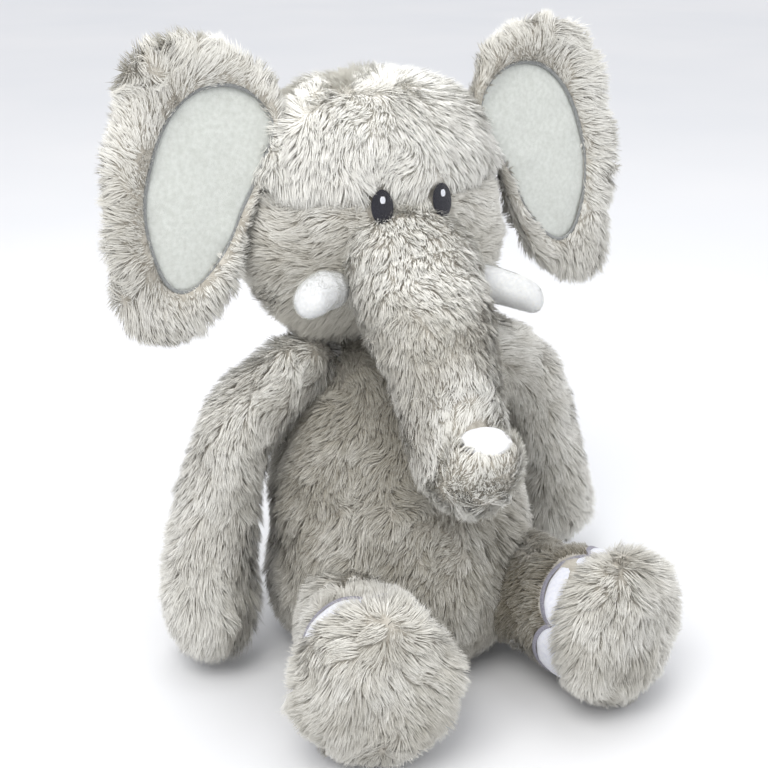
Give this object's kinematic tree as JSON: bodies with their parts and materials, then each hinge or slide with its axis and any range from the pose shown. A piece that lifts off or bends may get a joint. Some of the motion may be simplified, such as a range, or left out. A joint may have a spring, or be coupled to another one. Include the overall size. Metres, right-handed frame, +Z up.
{
  "type": "stuffed elephant",
  "caption": "Seated plush elephant in long-pile fur with lined ears, pale tusks, a curled trunk and stubby legs; head, ears, trunk, arms, legs and tail turn at their seams",
  "frame": {"origin": "centre of the bounding box's footprint, on the surface that the toy sits on", "axes": "+Z up, -Y the way the toy faces, +X the toy's left"},
  "size_m": [0.3136, 0.2551, 0.3533],
  "materials": {
    "body_fur": "long pile faux fur, brushed, matt",
    "forehead_fur": "long pile faux fur, paler, matt",
    "sole_fur": "long pile faux fur, radiating pile, matt",
    "velour": "short pile velour, matt",
    "tusk_fleece": "short fleece, matt",
    "trunk_disc_felt": "smooth felt, matt",
    "toenail_felt": "smooth felt, matt",
    "stitching": "satin stitched thread, slight sheen",
    "eye_thread": "close satin embroidery, slight sheen",
    "shine_thread": "embroidery thread, matt",
    "fibre": "loose polyester fibre, matt",
    "bean_bag_cotton": "plain woven cotton, matt"
  },
  "bodies": {
    "torso": {"torso_front_panel": "body_fur", "torso_back_panel": "body_fur", "torso_filling": "fibre", "seat_bean_bag": "bean_bag_cotton"},
    "neck": {"neck_filling": "fibre"},
    "head": {"crown_panel": "forehead_fur", "left_cheek_panel": "body_fur", "right_cheek_panel": "body_fur", "head_back_panel": "body_fur", "head_filling": "fibre", "left_eye": "eye_thread", "left_eye_shine": "shine_thread", "left_tusk_cover": "tusk_fleece", "left_tusk_filling": "fibre", "right_eye": "eye_thread", "right_eye_shine": "shine_thread", "right_tusk_cover": "tusk_fleece", "right_tusk_filling": "fibre"},
    "trunk_upper": {"trunk_upper_cover": "body_fur", "trunk_upper_filling": "fibre"},
    "trunk_lower": {"trunk_lower_cover": "body_fur", "trunk_lower_filling": "fibre"},
    "trunk_tip": {"trunk_tip_cover": "body_fur", "trunk_tip_filling": "fibre", "trunk_end_disc": "trunk_disc_felt"},
    "tail": {"tail_cover": "body_fur", "tail_tuft": "body_fur"},
    "left_ear": {"left_ear_back_panel": "body_fur", "left_ear_front_border": "body_fur", "left_ear_wadding": "fibre", "left_ear_lining": "velour", "left_ear_piping": "stitching"},
    "left_arm": {"left_arm_cover": "body_fur", "left_arm_filling": "fibre"},
    "left_leg": {"left_leg_cover": "body_fur", "left_leg_filling": "fibre", "left_foot_bean_bag": "bean_bag_cotton", "left_sole_pad": "sole_fur", "left_toenails": "toenail_felt", "left_toenail_stitching": "stitching"},
    "right_ear": {"right_ear_back_panel": "body_fur", "right_ear_front_border": "body_fur", "right_ear_wadding": "fibre", "right_ear_lining": "velour", "right_ear_piping": "stitching"},
    "right_arm": {"right_arm_cover": "body_fur", "right_arm_filling": "fibre"},
    "right_leg": {"right_leg_cover": "body_fur", "right_leg_filling": "fibre", "right_foot_bean_bag": "bean_bag_cotton", "right_sole_pad": "sole_fur", "right_toenails": "toenail_felt", "right_toenail_stitching": "stitching"}
  },
  "joints": [
    {"name": "neck_turn", "type": "hinge", "parent": "torso", "child": "neck", "pos_m": [0, 0.0592, 0.186], "axis": [0, 0, 1], "range_deg": [-30, 30]},
    {"name": "neck_nod", "type": "hinge", "parent": "neck", "child": "head", "pos_m": [0, 0.0592, 0.186], "axis": [-1, 0, 0], "range_deg": [-4, 15]},
    {"name": "trunk_lift", "type": "hinge", "parent": "head", "child": "trunk_upper", "pos_m": [0, 0.0072, 0.226], "axis": [-1, 0, 0], "range_deg": [0, 45]},
    {"name": "trunk_bend", "type": "hinge", "parent": "trunk_upper", "child": "trunk_lower", "pos_m": [0, -0.0228, 0.192], "axis": [-1, 0, 0], "range_deg": [0, 35]},
    {"name": "trunk_curl", "type": "hinge", "parent": "trunk_lower", "child": "trunk_tip", "pos_m": [0, -0.0398, 0.16], "axis": [-1, 0, 0], "range_deg": [-10, 30]},
    {"name": "left_ear_flap", "type": "hinge", "parent": "head", "child": "left_ear", "pos_m": [0.066, 0.0522, 0.294], "axis": [0.3465, -0.0693, -0.9355], "range_deg": [-10, 25]},
    {"name": "right_ear_flap", "type": "hinge", "parent": "head", "child": "right_ear", "pos_m": [-0.066, 0.0522, 0.294], "axis": [0.3465, 0.0693, 0.9355], "range_deg": [-10, 25]},
    {"name": "left_shoulder_lift", "type": "hinge", "parent": "torso", "child": "left_arm", "pos_m": [0.06, 0.0452, 0.164], "axis": [-0.6437, -0.6437, -0.4138], "range_deg": [0, 60]},
    {"name": "right_shoulder_lift", "type": "hinge", "parent": "torso", "child": "right_arm", "pos_m": [-0.06, 0.0452, 0.164], "axis": [-0.6859, 0.6859, 0.243], "range_deg": [0, 60]},
    {"name": "left_hip_lift", "type": "hinge", "parent": "torso", "child": "left_leg", "pos_m": [0.05, -0.0368, 0.0383], "axis": [-1, 0, 0], "range_deg": [0, 20]},
    {"name": "right_hip_lift", "type": "hinge", "parent": "torso", "child": "right_leg", "pos_m": [-0.05, -0.0248, 0.0383], "axis": [-1, 0, 0], "range_deg": [0, 20]},
    {"name": "tail_swing", "type": "hinge", "parent": "torso", "child": "tail", "pos_m": [0, 0.0992, 0.046], "axis": [0, -1, 0], "range_deg": [-30, 30]}
  ]
}
